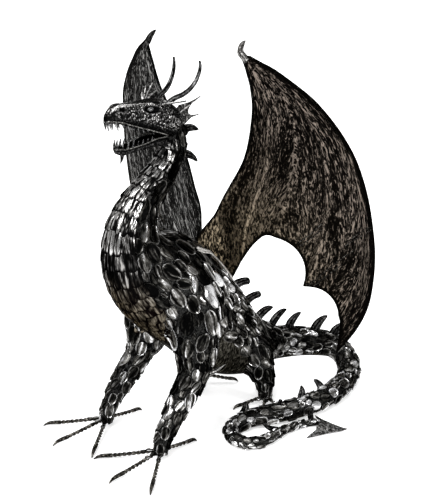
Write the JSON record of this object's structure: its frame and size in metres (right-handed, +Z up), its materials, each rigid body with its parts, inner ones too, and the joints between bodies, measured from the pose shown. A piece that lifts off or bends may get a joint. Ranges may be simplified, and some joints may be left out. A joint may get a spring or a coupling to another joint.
{
  "type": "dragon statue",
  "caption": "Standing dragon welded from steel plates, with raised wings, horned open-mouthed head and a tail that curls round on the ground.",
  "frame": {"origin": "on the ground, under the middle of the bounding box", "axes": "+Z up; the dragon faces -Y, and +X is its left side"},
  "size_m": [1.3626, 1.3696, 1.5049],
  "materials": {
    "skin_steel": "dark overlapping plates, burnished on their raised faces",
    "wing_steel": "hammered and ground sheet with a dark brown cast",
    "bar_steel": "dark forged bar",
    "head_steel": "pebbled with weld beads, burnished"
  },
  "bodies": {
    "root": {"back_spike_1": "bar_steel", "back_spike_2": "bar_steel", "back_spike_3": "bar_steel", "back_spike_4": "bar_steel", "back_spike_5": "bar_steel", "back_spike_6": "bar_steel", "back_spike_7": "bar_steel", "body": "skin_steel", "chin_spike": "bar_steel", "ear_left": "head_steel", "ear_right": "head_steel", "elbow_spur_left": "bar_steel", "elbow_spur_right": "bar_steel", "front_left_toe_1": "bar_steel", "front_left_toe_2": "bar_steel", "front_left_toe_3": "bar_steel", "front_left_toe_4": "bar_steel", "front_right_toe_1": "bar_steel", "front_right_toe_2": "bar_steel", "front_right_toe_3": "bar_steel", "front_right_toe_4": "bar_steel", "head": "head_steel", "horn_left": "bar_steel", "horn_right": "bar_steel", "lower_jaw": "head_steel", "nape_fin": "head_steel", "nape_spike_1": "bar_steel", "nape_spike_2": "bar_steel", "rear_left_toe_1": "bar_steel", "rear_left_toe_2": "bar_steel", "rear_left_toe_3": "bar_steel", "rear_left_toe_4": "bar_steel", "rear_right_toe_1": "bar_steel", "rear_right_toe_2": "bar_steel", "rear_right_toe_3": "bar_steel", "rear_right_toe_4": "bar_steel", "tail_arrow": "skin_steel", "tail_spike_1": "bar_steel", "tail_spike_2": "bar_steel", "tail_spike_3": "bar_steel", "tail_spike_4": "bar_steel", "tail_spike_5": "bar_steel", "tail_spike_6": "bar_steel", "wing_claw_left": "bar_steel", "wing_claw_right": "bar_steel", "wing_left": "wing_steel", "wing_right": "wing_steel"}
  },
  "joints": []
}
